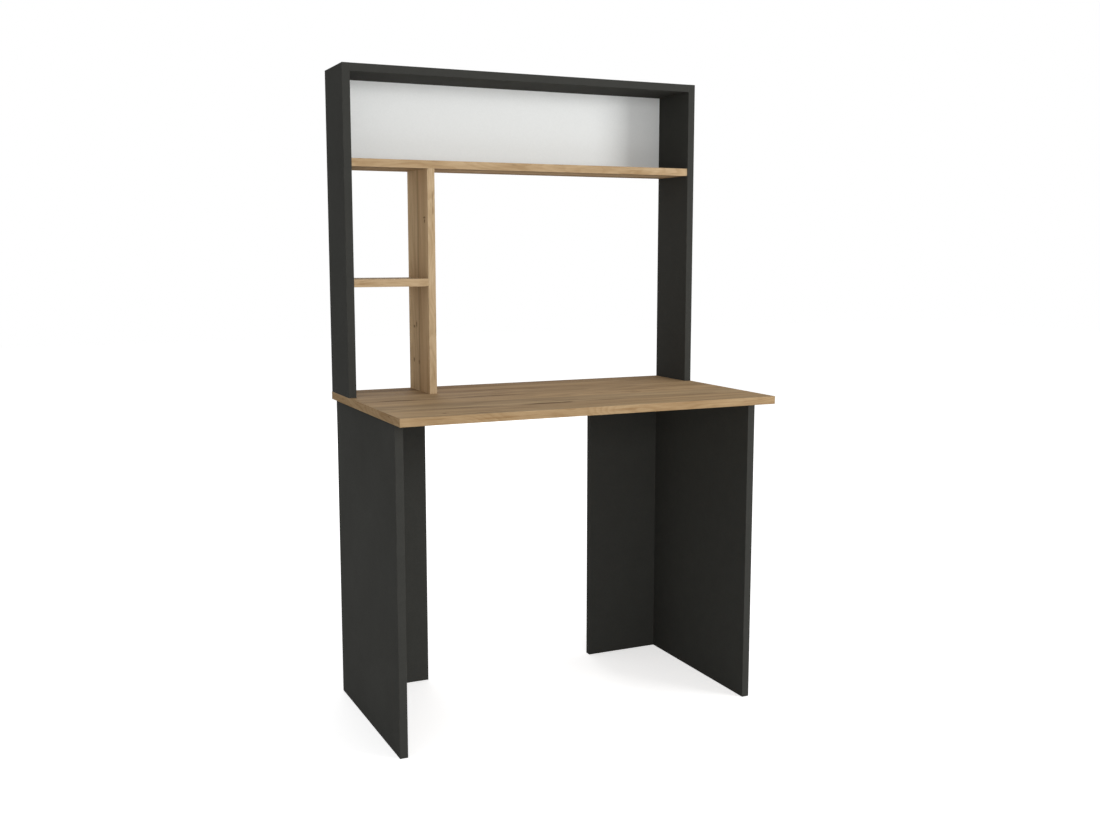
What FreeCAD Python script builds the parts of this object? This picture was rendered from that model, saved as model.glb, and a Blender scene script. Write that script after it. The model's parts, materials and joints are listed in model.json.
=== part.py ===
import FreeCAD, Part
import math
import os
import re
import Sketcher

# A student desk with an open hutch, as flat-pack furniture: melamine-faced boards with ABS edge
# bands, held by cams, dowels and screws. Every board is drawn at its place and is drilled for the
# fittings that hold it; one call per fitting drills both boards and sets the piece in them.
#
# The frame: origin on the floor under the middle of the desk top, +X to the right, +Y to the wall
# behind the desk, +Z up. All sizes are in millimetres.

# ---------------------------------------------------------------- driving dimensions

SIZES = {
    # the desk
    "desk_width": 900,
    "desk_depth": 520,
    "desk_height": 738,
    "board": 18,
    "leg_front_inset": 66,
    "leg_side_inset": 10,
    "leg_back_inset": 4,
    "wing_width": 196,
    # the hutch
    "hutch_height": 740,
    "hutch_depth": 145,
    "hutch_back_inset": 4,
    "shelf_setback": 2,
    "top_bay_height": 187,
    "cubby_width": 176,
    "back_panel": 3,
    "back_panel_margin": 2,
    # the edge bands
    "band": 1,
    "band_rounding": 0.8,
    # where the fittings go
    "hutch_fitting_spread": 90,
    "leg_dowel_margin": 60,
    "wing_cam_margin": 100,
    "wing_top_margin": 45,
    # dowels
    "dowel_diameter": 8,
    "dowel_length": 30,
    "dowel_in_face": 10,
    # cams and their connecting bolts
    "cam_diameter": 14.8,
    "cam_slack": 0.2,
    "cam_sink": 0.3,
    "cam_reach": 34,
    "cam_past_bolt": 4.1,
    "cam_slot_length": 8,
    "cam_slot_width": 1.4,
    "cam_slot_depth": 2.5,
    "bolt_diameter": 4.9,
    "bolt_thread_length": 11,
    "bolt_past_cam": 2,
    "bolt_head": 6.8,
    "bolt_head_length": 3.5,
    "bolt_head_slack": 0.2,
    "cap_diameter": 17,
    "cap_height": 1.2,
    # screws up through the desk top into the hutch
    "screw_length": 50,
    "screw_head": 10,
    "screw_shank": 7,
    "screw_root": 4.9,
    "screw_sink": 0.4,
    "screw_key": 4,
    "screw_key_depth": 2.5,
    # clearances
    "bore_slack": 0.1,
    "bore_end_gap": 0.5,
}

# ---------------------------------------------------------------- places worked out from them

TOP_UNDERSIDE = "(desk_height - board)"
DESK_SIDE = "(desk_width / 2)"
DESK_BACK = "(desk_depth / 2)"
LEG_OUTER = f"({DESK_SIDE} - leg_side_inset)"
LEG_INNER = f"({LEG_OUTER} - board)"
LEG_BACK = f"({DESK_BACK} - leg_back_inset)"
LEG_FRONT = f"(leg_front_inset - {DESK_BACK})"
WING_END = f"({LEG_INNER} - wing_width)"

HUTCH_INNER = f"({DESK_SIDE} - board)"
HUTCH_BACK = f"({DESK_BACK} - hutch_back_inset)"
HUTCH_FRONT = f"({HUTCH_BACK} - hutch_depth)"
HUTCH_TOP = "(desk_height + hutch_height)"
LID_UNDERSIDE = f"({HUTCH_TOP} - board)"
SHELF_FRONT = f"({HUTCH_FRONT} + shelf_setback)"
LONG_SHELF_TOP = f"({LID_UNDERSIDE} - top_bay_height)"
LONG_SHELF_UNDERSIDE = f"({LONG_SHELF_TOP} - board)"
DIVIDER_LEFT = f"(cubby_width - {HUTCH_INNER})"
DIVIDER_MIDDLE = f"({DIVIDER_LEFT} + board / 2)"
SMALL_SHELF_UNDERSIDE = f"((desk_height + {LONG_SHELF_UNDERSIDE} - board) / 2)"
SHELF_MIDDLE = f"(({SHELF_FRONT} + {HUTCH_BACK}) / 2)"
SIDE_MIDDLE = f"(({HUTCH_FRONT} + {HUTCH_BACK}) / 2)"

CAM_DEPTH = "(board / 2 + cam_past_bolt)"
BOLT_REACH = "(cam_reach + bolt_past_cam)"

AXES = "XYZ"
VECTORS = {"X": FreeCAD.Vector(1, 0, 0), "Y": FreeCAD.Vector(0, 1, 0), "Z": FreeCAD.Vector(0, 0, 1)}
# the origin plane square to each axis, and which way its normal points along that axis
PLANES = {"X": ("YZ_Plane", 1), "Y": ("XZ_Plane", -1), "Z": ("XY_Plane", 1)}
UNSOLVED = 1.0  # a new constraint's value until its formula is worked out
FULL_TURN = 360.0

# ---------------------------------------------------------------- document and sheet

doc = FreeCAD.newDocument("StudentDesk")
sheet = doc.addObject("Spreadsheet::Sheet", "Sizes")
for row, (size_name, value) in enumerate(SIZES.items(), start=1):
    sheet.set(f"A{row}", size_name)
    sheet.set(f"B{row}", str(value))
    sheet.setAlias(f"B{row}", size_name)
doc.recompute()

subparts = []


def formula(text):
    """The text, with each size's name turned into a reference to its cell."""
    return re.sub(r"[a-z_]+", lambda word: f"Sizes.{word[0]}" if word[0] in SIZES else word[0], text)


def bind(item, field, text):
    """Binds one field of a document object to a formula of named sizes."""
    item.setExpression(field, formula(text))


# ---------------------------------------------------------------- sketch helpers


def new_body(label):
    """An empty body."""
    body = doc.addObject("PartDesign::Body", label)
    body.Label = label
    return body


def sketch_on(body, name, axis, offset="0"):
    """A sketch square to an axis of the body, at a distance along that axis."""
    role, sense = PLANES[axis]
    plane = next(item for item in body.Origin.OriginFeatures if item.Role == role)
    sketch = body.newObject("Sketcher::SketchObject", name)
    sketch.AttachmentSupport = (plane, [""])
    sketch.MapMode = "FlatFace"
    bind(sketch, "AttachmentOffset.Base.z", f"{sense} * ({offset})")
    return sketch


def dimension(sketch, kind, elements, text):
    """A dimension of the sketch that follows a formula."""
    index = sketch.addConstraint(Sketcher.Constraint(kind, *elements, UNSOLVED))
    name = f"dimension_{index}"
    sketch.renameConstraint(index, name)
    bind(sketch, f"Constraints.{name}", text)


def place_point(sketch, geometry, point, spot):
    """Sets a point of the sketch by its two distances from the sketch's origin."""
    dimension(sketch, "DistanceX", (-1, 1, geometry, point), spot[0])
    dimension(sketch, "DistanceY", (-1, 1, geometry, point), spot[1])


def outline(sketch, corners):
    """A closed outline of straight lines through corners given as pairs of formulas."""
    count = len(corners)
    turn = 2 * math.pi / count
    ring = [FreeCAD.Vector(math.cos(turn * step), math.sin(turn * step), 0) for step in range(count)]
    lines = [Part.LineSegment(ring[step], ring[(step + 1) % count]) for step in range(count)]
    sides = sketch.addGeometry(lines)
    for step, side in enumerate(sides):
        sketch.addConstraint(Sketcher.Constraint("Coincident", side, 2, sides[(step + 1) % count], 1))
        place_point(sketch, side, 1, corners[step])


def rectangle(sketch, low, high):
    """A rectangle from its low corner to its high corner."""
    outline(sketch, [low, (high[0], low[1]), high, (low[0], high[1])])


def circle(sketch, centre, diameter):
    """A circle about a centre given as a pair of formulas."""
    ring = sketch.addGeometry(Part.Circle(FreeCAD.Vector(0, 0, 0), FreeCAD.Vector(0, 0, 1), UNSOLVED))
    place_point(sketch, ring, 3, centre)
    dimension(sketch, "Diameter", (ring,), diameter)


def polygon(sketch, count, radius):
    """A regular polygon about the sketch's origin, by the radius to its corners."""
    turns = [FULL_TURN / count * step for step in range(count)]
    outline(sketch, [(f"{radius} * cos({turn} deg)", f"{radius} * sin({turn} deg)") for turn in turns])


# ---------------------------------------------------------------- feature helpers


def pad(body, sketch, length, downward=False):
    """Thickens a sketch, along the positive axis unless downward."""
    feature = body.newObject("PartDesign::Pad", f"{sketch.Name}_pad")
    feature.Profile = sketch
    feature.Reversed = downward
    bind(feature, "Length", length)
    doc.recompute()
    return feature


def cut(body, kind, sketch, depth_field, depth, upward, **fields):
    """A pocket or a hole from a sketch, refused if it takes nothing away from the body."""
    doc.recompute()
    before = body.Shape.Volume
    feature = body.newObject(kind, f"{sketch.Name}_cut")
    feature.Profile = sketch
    doc.recompute()
    for field, setting in fields.items():
        setattr(feature, field, setting)
    feature.Reversed = upward
    bind(feature, depth_field, depth)
    doc.recompute()
    if body.Shape.Volume > before - FreeCAD.Base.Precision.confusion():
        raise ValueError(f"{feature.Name} cuts nothing")
    return feature


def edges_of(feature, wanted):
    """The names of the feature's edges that a test of their two ends accepts."""
    names = []
    for number, edge in enumerate(feature.Shape.Edges, start=1):
        if wanted(edge.Vertexes[0].Point, edge.Vertexes[-1].Point):
            names.append(f"Edge{number}")
    return names


def dress(body, kind, feature, names, size_field, size):
    """A fillet or chamfer on named edges of a feature."""
    dressing = body.newObject(kind, f"{feature.Name}_dressed")
    dressing.Base = (feature, names)
    bind(dressing, size_field, size)
    doc.recompute()
    return dressing


# ---------------------------------------------------------------- boards and their edge bands


def in_plane(axis, point):
    """The two coordinates of a point that lie in the plane square to an axis."""
    return tuple(value for name, value in zip(AXES, point) if name != axis)


SIDE_NAMES = {"-X": "left", "+X": "right", "-Y": "front", "+Y": "back", "+Z": "top"}
COUNTERSINK_ANGLE = 90.0


class Board:
    """A board between two corners of the desk's frame, flat across its thickness axis.

    Its banded edges are named by the side that they face, such as -Y for the front. The first
    band named runs the full length, and each later one stops at those before it. Bands whose
    ends stand free, with no board against them, are rounded there too.
    """

    def __init__(self, label, axis, low, high, banded=(), free_ended=()):
        self.axis = axis
        self.bores = {}
        core_low, core_high = list(low), list(high)
        bands = []
        for side in banded:
            index = AXES.index(side[1])
            band_low, band_high = list(core_low), list(core_high)
            if side[0] == "-":
                core_low[index] = f"({core_low[index]} + band)"
                band_high[index] = core_low[index]
            else:
                core_high[index] = f"({core_high[index]} - band)"
                band_low[index] = core_high[index]
            bands.append((side, band_low, band_high))
        self.low = core_low
        self.body = self.flat_body(label, core_low, core_high)
        for side, band_low, band_high in bands:
            band_label = f"{label}_{SIDE_NAMES[side]}_band" if len(bands) > 1 else f"{label}_band"
            band = self.flat_body(band_label, band_low, band_high)
            self.round_band(band, side, side in free_ended)

    def local(self, point):
        """A point of the desk's frame as seen from the board's low corner, in formulas."""
        return [f"({value}) - ({start})" for value, start in zip(point, self.low)]

    def flat_body(self, label, low, high):
        """A body between two corners, padded across the board's thickness."""
        body = new_body(label)
        for name, start in zip(AXES, low):
            bind(body, f"Placement.Base.{name.lower()}", start)
        size = [f"({end}) - ({start})" for start, end in zip(low, high)]
        sketch = sketch_on(body, f"{label}_outline", self.axis)
        rectangle(sketch, ("0", "0"), in_plane(self.axis, size))
        pad(body, sketch, size[AXES.index(self.axis)], downward=self.axis == "Y")
        subparts.append(body)
        return body

    def round_band(self, body, side, free_ended):
        """Rounds a band's long outer edges, and its end edges too where they stand free."""
        flat = body.Tip
        index, across = AXES.index(side[1]), AXES.index(self.axis)
        box = flat.Shape.BoundBox
        lowest, highest = (box.XMin, box.YMin, box.ZMin), (box.XMax, box.YMax, box.ZMax)
        face = (lowest if side[0] == "-" else highest)[index]
        near = FreeCAD.Base.Precision.confusion()

        def outer_edge(start, end):
            outside = abs(start[index] - face) < near and abs(end[index] - face) < near
            return outside and (free_ended or abs(start[across] - end[across]) < near)

        dress(body, "PartDesign::Fillet", flat, edges_of(flat, outer_edge), "Radius", "band_rounding")

    def bore(self, axis, entry, toward, diameter, depth, countersink=None):
        """Notes a bore from a point toward +1 or -1 along an axis, with its countersink's width if any."""
        plane = entry[AXES.index(axis)]
        entries = self.bores.setdefault((axis, plane, toward, diameter, depth, countersink), [])
        entries.append(entry)

    def drill(self):
        """Drills the bores that were noted, one hole feature for each row of like bores."""
        for number, (key, entries) in enumerate(self.bores.items()):
            axis, _plane, toward, diameter, depth, countersink = key
            offset = self.local(entries[0])[AXES.index(axis)]
            sketch = sketch_on(self.body, f"{self.body.Name}_bores_{number}", axis, offset)
            for entry in entries:
                circle(sketch, in_plane(axis, self.local(entry)), diameter)
            upward = toward * PLANES[axis][1] > 0
            hole = cut(self.body, "PartDesign::Hole", sketch, "Depth", depth, upward,
                       DepthType="Dimension", ThreadType="None", DrillPoint="Flat")
            bind(hole, "Diameter", diameter)
            if countersink:
                hole.HoleCutType = "Countersink"
                hole.HoleCutCustomValues = True
                hole.HoleCutCountersinkAngle = COUNTERSINK_ANGLE
                bind(hole, "HoleCutDiameter", countersink)
        doc.recompute()


def on_side(sign, inner, outer):
    """The low and high X of something between two distances from the middle, left (-1) or right (+1)."""
    return (f"-({outer})", f"-({inner})") if sign < 0 else (inner, outer)


SIGNS = {"left": -1, "right": 1}

# ---- the desk

desk_top = Board(
    "desk_top", "Z",
    (f"-{DESK_SIDE}", f"-{DESK_BACK}", TOP_UNDERSIDE),
    (DESK_SIDE, DESK_BACK, "desk_height"),
    banded=("-Y", "+Y", "-X", "+X"),
    free_ended=("-Y", "+Y"),
)

leg_sides = {}
wings = {}
for side, sign in SIGNS.items():
    low_x, high_x = on_side(sign, LEG_INNER, LEG_OUTER)
    leg_sides[side] = Board(
        f"{side}_leg_side", "X",
        (low_x, LEG_FRONT, "0"),
        (high_x, LEG_BACK, TOP_UNDERSIDE),
        banded=("-Y",),
    )
    low_x, high_x = on_side(sign, WING_END, LEG_INNER)
    wings[side] = Board(
        f"{side}_leg_wing", "Y",
        (low_x, f"{LEG_BACK} - board", "0"),
        (high_x, LEG_BACK, TOP_UNDERSIDE),
        banded=("+X",) if sign < 0 else ("-X",),
    )

# ---- the hutch

hutch_sides = {}
for side, sign in SIGNS.items():
    low_x, high_x = on_side(sign, HUTCH_INNER, DESK_SIDE)
    hutch_sides[side] = Board(
        f"{side}_hutch_side", "X",
        (low_x, HUTCH_FRONT, "desk_height"),
        (high_x, HUTCH_BACK, HUTCH_TOP),
        banded=("-Y", "+Z"),
    )

hutch_top = Board(
    "hutch_top", "Z",
    (f"-{HUTCH_INNER}", HUTCH_FRONT, LID_UNDERSIDE),
    (HUTCH_INNER, HUTCH_BACK, HUTCH_TOP),
    banded=("-Y",),
)
long_shelf = Board(
    "long_shelf", "Z",
    (f"-{HUTCH_INNER}", SHELF_FRONT, LONG_SHELF_UNDERSIDE),
    (HUTCH_INNER, HUTCH_BACK, LONG_SHELF_TOP),
    banded=("-Y",),
)
divider = Board(
    "divider", "X",
    (DIVIDER_LEFT, SHELF_FRONT, "desk_height"),
    (f"{DIVIDER_LEFT} + board", HUTCH_BACK, LONG_SHELF_UNDERSIDE),
    banded=("-Y",),
)
small_shelf = Board(
    "small_shelf", "Z",
    (f"-{HUTCH_INNER}", SHELF_FRONT, SMALL_SHELF_UNDERSIDE),
    (DIVIDER_LEFT, HUTCH_BACK, f"{SMALL_SHELF_UNDERSIDE} + board"),
    banded=("-Y",),
)
back_panel = Board(
    "back_panel", "Y",
    (f"-{DESK_SIDE} + back_panel_margin", HUTCH_BACK, f"{LONG_SHELF_UNDERSIDE} + back_panel_margin"),
    (f"{DESK_SIDE} - back_panel_margin", f"{HUTCH_BACK} + back_panel", f"{HUTCH_TOP} - back_panel_margin"),
)

BOARDS = [desk_top, *leg_sides.values(), *wings.values(), *hutch_sides.values(),
          hutch_top, long_shelf, divider, small_shelf, back_panel]

# ---------------------------------------------------------------- fitting patterns
# Each fitting is drawn once about its own Z axis, with Z = 0 where the two boards meet or on the
# face that it is driven from, and is set at every place that uses it. Dowels, bolts and screws are
# hidden in the boards, so their round lengths are drawn with few faces.

ROUND_FACES = 12
KEY_FACES = 6


def round_length(body, start, end, diameter, taper=0.0):
    """A round length of a fitting between two heights, its faces leaning inward by a taper."""
    sketch = sketch_on(body, f"{body.Name}_section_{len(body.Group)}", "Z", start)
    polygon(sketch, ROUND_FACES, f"({diameter}) / 2")
    feature = pad(body, sketch, f"({end}) - ({start})")
    feature.TaperAngle = -taper
    doc.recompute()


def dowel_pattern():
    """A fluted beech dowel; its short end points up, into the face of a board."""
    body = new_body("dowel_pattern")
    round_length(body, "dowel_in_face - dowel_length", "dowel_in_face", "dowel_diameter")
    return body


def bolt_pattern():
    """A connecting bolt; its threaded end points up, into the face of a board."""
    body = new_body("bolt_pattern")
    neck = f"(bolt_head_length - {BOLT_REACH})"
    round_length(body, neck, "bolt_thread_length", "bolt_diameter")
    round_length(body, f"-{BOLT_REACH}", neck, "bolt_head")
    return body


def cam_pattern():
    """A cam housing, sunk from Z = 0; its channel opens toward +X and takes the bolt's head."""
    body = new_body("cam_pattern")
    section = sketch_on(body, "cam_section", "Z", f"-{CAM_DEPTH}")
    circle(section, ("0", "0"), "cam_diameter")
    pad(body, section, f"{CAM_DEPTH} - cam_sink")
    channel_half = "(bolt_head / 2 + bolt_head_slack)"
    channel = sketch_on(body, "cam_channel", "Z", f"{channel_half} - board / 2")
    channel_start = "-bolt_past_cam - bolt_head_slack"
    rectangle(channel, (channel_start, f"-{channel_half}"), ("cam_diameter", channel_half))
    cut(body, "PartDesign::Pocket", channel, "Length", f"2 * {channel_half}", upward=False)
    slot = sketch_on(body, "cam_slot", "Z", "-cam_sink")
    half_length, half_width = "cam_slot_length / 2", "cam_slot_width / 2"
    rectangle(slot, (f"-{half_length}", f"-{half_width}"), (half_length, half_width))
    cut(body, "PartDesign::Pocket", slot, "Length", "cam_slot_depth", upward=False)
    return body


def cap_pattern():
    """A cover cap that lies on the board over a cam."""
    body = new_body("cap_pattern")
    sketch = sketch_on(body, "cap_section", "Z")
    circle(sketch, ("0", "0"), "cap_diameter")
    pad(body, sketch, "cap_height")
    return body


def screw_pattern():
    """A furniture screw driven up from Z = 0, with a countersunk head and a hexagon socket."""
    body = new_body("screw_pattern")
    # a taper leans the flats, which stand nearer the axis than the corners do
    head_end = f"(screw_sink + (screw_head - screw_shank) / 2 * cos({FULL_TURN / 2 / ROUND_FACES} deg))"
    round_length(body, "screw_sink", head_end, "screw_head", taper=COUNTERSINK_ANGLE / 2)
    round_length(body, head_end, "board", "screw_shank")
    round_length(body, "board", "screw_length", "screw_root")
    socket = sketch_on(body, "screw_socket", "Z", "screw_sink")
    polygon(socket, KEY_FACES, f"screw_key / 2 / cos({FULL_TURN / 2 / KEY_FACES} deg)")
    cut(body, "PartDesign::Pocket", socket, "Length", "screw_key_depth", upward=True)
    return body


PATTERNS = {
    "dowels": dowel_pattern(),
    "connecting_bolts": bolt_pattern(),
    "cam_housings": cam_pattern(),
    "oak_cam_caps": cap_pattern(),
    "hutch_screws": screw_pattern(),
}
placed = {node: [] for node in PATTERNS}


def set_piece(node, point, up, across=None):
    """Sets one more piece of a group at a point, with its Z axis along up and its X axis along across."""
    piece = doc.addObject("App::Link", f"{node}_{len(placed[node]) + 1}")
    piece.LinkedObject = PATTERNS[node]
    if across is None:
        turn = FreeCAD.Rotation(VECTORS["Z"], up)
    else:
        turn = FreeCAD.Rotation(across, up.cross(across), up, "ZXY")
    piece.Placement = FreeCAD.Placement(FreeCAD.Vector(0, 0, 0), turn)
    for name, value in zip(AXES, point):
        bind(piece, f"Placement.Base.{name.lower()}", value)
    placed[node].append(piece)


def moved(point, axis, distance):
    """A point moved along an axis by a formula."""
    result = list(point)
    index = AXES.index(axis)
    result[index] = f"({result[index]} + {distance})"
    return result


# ---------------------------------------------------------------- joints between boards
# "toward" is +1 or -1: the way along the joint's axis from the edge board to the face board.


def dowel_joint(point, axis, toward, face_board, edge_board):
    """A dowel where an edge board meets the face of another."""
    diameter = "dowel_diameter + bore_slack"
    face_board.bore(axis, point, toward, diameter, "dowel_in_face + bore_end_gap")
    edge_board.bore(axis, point, -toward, diameter, "dowel_length - dowel_in_face + bore_end_gap")
    set_piece("dowels", point, VECTORS[axis] * toward)


def cam_joint(point, axis, toward, face_board, edge_board, cam_side, capped=False):
    """A bolt in one board's face, pulled tight by a cam sunk in a face of the edge board."""
    cam_toward = -1 if cam_side[0] == "-" else 1
    cam_axis = cam_side[1]
    face_board.bore(axis, point, toward, "bolt_diameter + bore_slack", "bolt_thread_length + bore_end_gap")
    edge_board.bore(axis, point, -toward, "bolt_head + 2 * bolt_head_slack", f"{BOLT_REACH} + bore_end_gap")
    centre = moved(point, axis, f"{-toward} * cam_reach")
    surface = moved(centre, cam_axis, f"{cam_toward} * board / 2")
    edge_board.bore(cam_axis, surface, -cam_toward, "cam_diameter + cam_slack", f"{CAM_DEPTH} + bore_end_gap")
    set_piece("connecting_bolts", point, VECTORS[axis] * toward)
    set_piece("cam_housings", surface, VECTORS[cam_axis] * cam_toward, VECTORS[axis] * toward)
    if capped:
        set_piece("oak_cam_caps", surface, VECTORS[cam_axis] * cam_toward)


def screw_joint(x, y, edge_board):
    """A screw from under the desk top, up into a board that stands on it."""
    entry = (x, y, TOP_UNDERSIDE)
    desk_top.bore("Z", entry, 1, "screw_shank + bore_slack", "board",
                  countersink="screw_head + 2 * screw_sink + bore_slack")
    edge_board.bore("Z", (x, y, "desk_height"), 1, "screw_root + bore_slack",
                    "screw_length - board + bore_end_gap")
    set_piece("hutch_screws", entry, VECTORS["Z"])


def join_legs():
    """Each leg: two cams from its wing to its side, and both of them to the desk top."""
    for side, sign in SIGNS.items():
        inner = f"{sign} * {LEG_INNER}"
        wing_middle = f"({LEG_BACK} - board / 2)"
        for height in ("wing_cam_margin", f"({TOP_UNDERSIDE} - wing_cam_margin)"):
            cam_joint((inner, wing_middle, height), "X", sign, leg_sides[side], wings[side], "+Y")
        wing_top = (f"{sign} * ({WING_END} + wing_top_margin)", wing_middle, TOP_UNDERSIDE)
        cam_joint(wing_top, "Z", 1, desk_top, wings[side], "+Y")
        for y in (f"({LEG_FRONT} + leg_dowel_margin)", f"({LEG_BACK} - leg_dowel_margin)"):
            dowel_joint((f"{sign} * ({LEG_OUTER} - board / 2)", y, TOP_UNDERSIDE), "Z", 1,
                        desk_top, leg_sides[side])


def front_and_back(middle):
    """The depths of the two fittings of a hutch joint, either side of a board's middle."""
    return f"({middle} - hutch_fitting_spread / 2)", f"({middle} + hutch_fitting_spread / 2)"


def join_hutch():
    """The hutch's boards to each other, and the upright ones to the desk top."""
    for side, sign in SIGNS.items():
        inner = f"{sign} * {HUTCH_INNER}"
        for shelf, middle, underside in (
            (long_shelf, SHELF_MIDDLE, LONG_SHELF_UNDERSIDE),
            (hutch_top, SIDE_MIDDLE, LID_UNDERSIDE),
        ):
            front, back = front_and_back(middle)
            height = f"({underside} + board / 2)"
            cam_joint((inner, front, height), "X", sign, hutch_sides[side], shelf, "+Z",
                      capped=shelf is long_shelf)
            dowel_joint((inner, back, height), "X", sign, hutch_sides[side], shelf)
        for y in front_and_back(SIDE_MIDDLE):
            screw_joint(f"{sign} * ({DESK_SIDE} - board / 2)", y, hutch_sides[side])
    small_shelf_height = f"({SMALL_SHELF_UNDERSIDE} + board / 2)"
    for y in front_and_back(SHELF_MIDDLE):
        screw_joint(DIVIDER_MIDDLE, y, divider)
        dowel_joint((DIVIDER_MIDDLE, y, LONG_SHELF_UNDERSIDE), "Z", 1, long_shelf, divider)
        dowel_joint((f"-{HUTCH_INNER}", y, small_shelf_height), "X", -1, hutch_sides["left"], small_shelf)
        dowel_joint((DIVIDER_LEFT, y, small_shelf_height), "X", 1, divider, small_shelf)


join_legs()
join_hutch()
for board in BOARDS:
    board.drill()

for node, pieces in placed.items():
    group = doc.addObject("Part::Compound", node)
    group.Label = node
    group.Links = pieces
    subparts.append(group)
doc.recompute()

# ---------------------------------------------------------------- checks and export

broken = [item.Label for item in doc.Objects if {"Invalid", "Error"} & set(item.State)]
if broken:
    raise ValueError(f"objects that did not recompute: {broken}")
for item in subparts:
    if item.Shape.isNull() or not item.Shape.isValid():
        raise ValueError(f"{item.Label} has no valid shape")

os.makedirs("parts", exist_ok=True)
for item in subparts:
    item.Shape.exportStep(os.path.join("parts", f"{item.Label}.step"))
    print(f"{item.Label}: {len(item.Shape.Solids)} solids, {item.Shape.Volume / 1000:.1f} cm3")
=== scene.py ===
# %% [markdown]
# # A student desk with a hutch
# The desk is a flat-pack piece: particle boards faced with melamine, closed with plastic edge bands
# and held by dowels, cams and screws. A CAD program has already made every board and fitting at its
# real size. Blender has the other half of the work: the camera, the light, the surface of every
# piece, and the small trim that is too fine for the CAD model.

# %% Load the CAD model as the fixed frame
import json
import math

import bmesh
import bpy
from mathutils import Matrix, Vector


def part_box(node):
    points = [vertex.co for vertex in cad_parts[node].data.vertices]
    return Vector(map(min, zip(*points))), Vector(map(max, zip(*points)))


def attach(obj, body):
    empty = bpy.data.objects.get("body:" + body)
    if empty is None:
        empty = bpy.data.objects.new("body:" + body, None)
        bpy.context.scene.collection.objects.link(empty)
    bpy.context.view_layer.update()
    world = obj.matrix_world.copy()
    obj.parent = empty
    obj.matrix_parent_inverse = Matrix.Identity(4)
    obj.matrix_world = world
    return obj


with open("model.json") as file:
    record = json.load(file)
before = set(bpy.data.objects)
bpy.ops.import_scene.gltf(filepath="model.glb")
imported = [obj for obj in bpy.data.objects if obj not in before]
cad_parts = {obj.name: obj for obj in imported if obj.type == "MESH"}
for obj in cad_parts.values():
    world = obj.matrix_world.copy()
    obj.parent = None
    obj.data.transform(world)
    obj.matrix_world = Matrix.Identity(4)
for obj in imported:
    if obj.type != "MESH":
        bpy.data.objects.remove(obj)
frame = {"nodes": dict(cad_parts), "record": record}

nodes = frame["nodes"]
slot_of = {entry["node"]: entry["material_slot"] for entry in frame["record"]["subparts"]}
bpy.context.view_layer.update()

# %% [markdown]
# ## The camera
# The desk is seen from its left front corner, at a sitter's eye level, through a normal lens. A
# camera could be pointed with a Track To constraint, but a viewing angle is easier to keep exact as
# two turns: how far the view swings from straight ahead, and how far it looks down. The lens and
# the place follow from those, so that upright edges lean together just as they do for the eye.

# %% Set the camera
VIEW_SWING = math.radians(24.875)  # from straight ahead, toward the desk's right
VIEW_DROP = math.radians(7.6)  # below the horizon
CAMERA_PLACE = Vector((-1.18506, -2.55630, 1.07081))
LENS_MM = 39.75
SENSOR_MM = 36

lens = bpy.data.cameras.new("desk_lens")
lens.lens = LENS_MM
lens.sensor_width = SENSOR_MM
camera = bpy.data.objects.new("desk_camera", lens)
camera.location = CAMERA_PLACE
camera.rotation_euler = (math.pi / 2 - VIEW_DROP, 0, -VIEW_SWING)
bpy.context.scene.collection.objects.link(camera)
bpy.context.scene.camera = camera

# %% [markdown]
# ## A shorthand for shader nodes
# Materials here are built in code, so that each value has a name and a reason. Writing every node
# and link in full would hide the idea of a finish, so small helpers do the wiring: one adds any
# node and feeds its inputs, and the others are the kinds that finishes use most.

# %% Node helpers
MM = 0.001


def add(tree, kind, feeds=None, **settings):
    """Adds a node, sets its fields, and feeds its inputs with sockets or plain values."""
    made = tree.nodes.new(kind)
    for field, value in settings.items():
        setattr(made, field, value)
    for key, feed in (feeds or {}).items():
        if isinstance(feed, bpy.types.NodeSocket):
            tree.links.new(feed, made.inputs[key])
        else:
            made.inputs[key].default_value = feed
    return made


def calc(tree, operation, *terms, clamp=False):
    """The result of a Math node; each term is a socket or a number."""
    feeds = dict(enumerate(terms))
    return add(tree, "ShaderNodeMath", feeds, operation=operation, use_clamp=clamp).outputs[0]


def times(tree, first, second):
    """One number times another."""
    return calc(tree, "MULTIPLY", first, second)


def place_calc(tree, operation, *terms):
    """The result of a Vector Math node: a number for a dot product or a length, else a vector."""
    made = add(tree, "ShaderNodeVectorMath", dict(enumerate(terms)), operation=operation)
    return made.outputs["Value" if operation in ("DOT_PRODUCT", "LENGTH") else "Vector"]


def split(tree, place):
    """The X, Y and Z parts of a place."""
    return add(tree, "ShaderNodeSeparateXYZ", {0: place}).outputs


print("one millimetre is", MM, "m")


# %% Blends, groups and colours
def ramp(tree, value, start, end, low=0.0, high=1.0):
    """Eases from low to high while a value goes from start to end."""
    feeds = {"Value": value, "From Min": start, "From Max": end, "To Min": low, "To Max": high}
    made = add(tree, "ShaderNodeMapRange", feeds, interpolation_type="SMOOTHSTEP")
    return made.outputs["Result"]


def fall(tree, value, start, end):
    """Eases from 1 to 0 while a value goes from start to end."""
    return calc(tree, "SUBTRACT", 1.0, ramp(tree, value, start, end))


def tint(tree, share, under, over, how="MIX"):
    """Lays one colour over another by a share."""
    feeds = {0: share, 6: under, 7: over}
    return add(tree, "ShaderNodeMix", feeds, data_type="RGBA", blend_type=how).outputs[2]


def use(tree, effect, feeds):
    """Places a shared effect in a tree and returns its outputs."""
    return add(tree, "ShaderNodeGroup", feeds, node_tree=effect).outputs


def colour(red, green, blue):
    """A colour as the screen shows it, 0 to 255, as the linear values that light works in."""
    def linear(level):
        share = level / 255
        return share / 12.92 if share <= 0.04045 else ((share + 0.055) / 1.055) ** 2.4

    return (linear(red), linear(green), linear(blue), 1.0)


print("middle grey 128 is", round(colour(128, 128, 128)[0], 3), "in linear light")

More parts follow.
